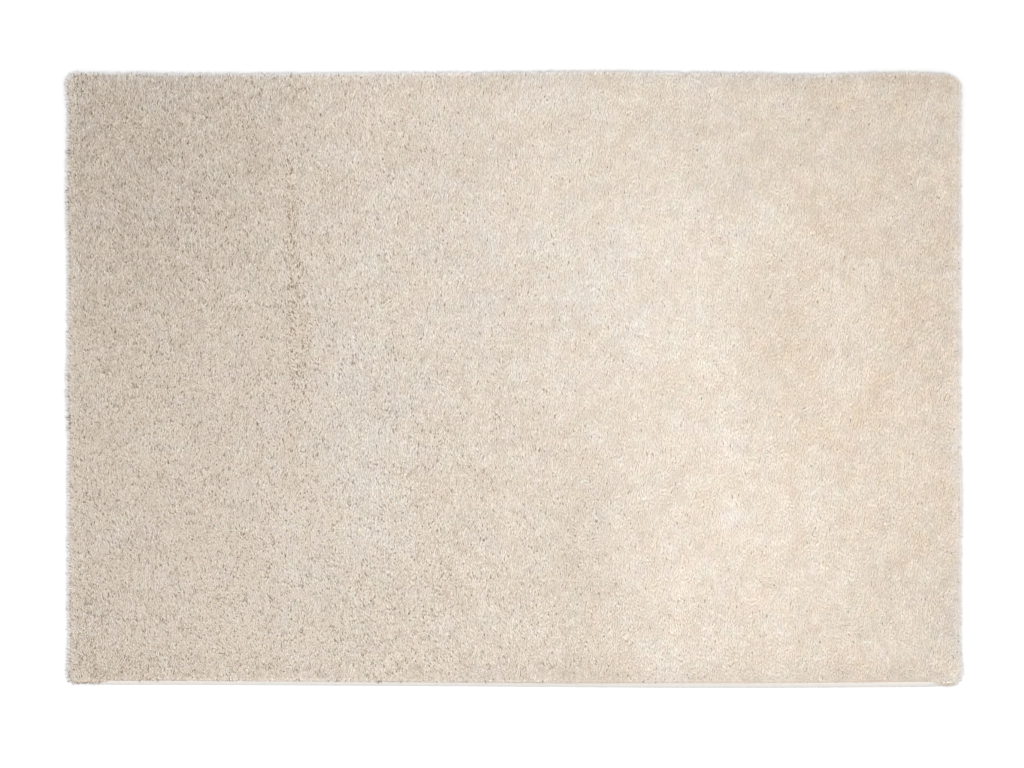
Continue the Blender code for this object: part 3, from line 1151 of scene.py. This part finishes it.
def pile_material():
    """Cream yarn: a ramp along the tuft, painted shade at its foot, times its tint, with sheen and fine
    fibres.
    """
    material, shader, tree = plain_material("cream pile yarn", (0.8, 0.7, 0.6, 1.0), 0.9)
    along = ramp(tree, attribute(tree, "along"), PILE_STOPS)
    colour = multiplied(tree, along, attribute(tree, "tint", "Color"))
    link(tree, colour, shader.inputs["Base Color"])
    shader.inputs["Sheen Weight"].default_value = 0.25
    shader.inputs["Sheen Roughness"].default_value = 0.5
    place = tree.nodes.new("ShaderNodeUVMap")
    place.uv_map = "OFBake"
    stretch = tree.nodes.new("ShaderNodeMapping")
    stretch.inputs["Scale"].default_value = (FIBRES_ROUND, FIBRES_ALONG, 1.0)
    link(tree, place.outputs["UV"], stretch.inputs["Vector"])
    roughen(tree, shader, fibre_lines(tree, stretch.outputs["Vector"], 1.0), 0.82, 0.98, 0.0001)
    return material


# %% [markdown]
# The pile is joined into five widths, from front to back, so that no piece is too large. Foot and
# tip have tints of their own, and the shading directions go with the mesh as custom normals.

# %% The pile, in five widths
WIDTHS = 5
TUFT_FACES = np.array(((0, 2, 1), (0, 1, 3), (1, 2, 3), (2, 0, 3)))
U0, U1, U2, U3 = 0.06, 0.35, 0.65, 0.94
LOW, TOP = 0.16, 0.94
TUFT_UV = np.array(
    (
        ((0.25, 0.04), (0.50, 0.12), (0.75, 0.04)),
        ((U0, LOW), (U1, LOW), ((U0 + U1) / 2, TOP)),
        ((U1, LOW), (U2, LOW), ((U1 + U2) / 2, TOP)),
        ((U2, LOW), (U3, LOW), ((U2 + U3) / 2, TOP)),
    )
)


def make_pile(number, chosen, material):
    """One width of the pile: the chosen tufts joined into one mesh."""
    places = tufts[chosen].reshape(-1, 3)
    count = int(chosen.sum())
    faces = (np.arange(count)[:, None, None] * 4 + TUFT_FACES).reshape(-1, 3)
    cells = math.ceil(math.sqrt(count))
    order = np.arange(count)
    corner = np.stack((order % cells, order // cells), axis=1)[:, None, None]
    uv = ((corner + TUFT_UV) / cells).reshape(-1, 2)
    numbers = {
        "along": np.tile((0, 0, 0, 1), count),
        "tint": np.stack((*[root_tint[chosen]] * 3, tint[chosen]), axis=1).reshape(-1, 3),
    }
    piece = add_piece(f"pile_{number}", places, faces, material, numbers, uv)
    piece.data.normals_split_custom_set_from_vertices(facings[chosen].reshape(-1, 3))
    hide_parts("rug_mat")
    return piece


pile_yarn = pile_material()
limits = np.quantile(y, np.linspace(0, 1, WIDTHS + 1))
limits[-1] += 1.0
piles = [
    make_pile(k + 1, (y >= limits[k]) & (y < limits[k + 1]), pile_yarn) for k in range(WIDTHS)
]
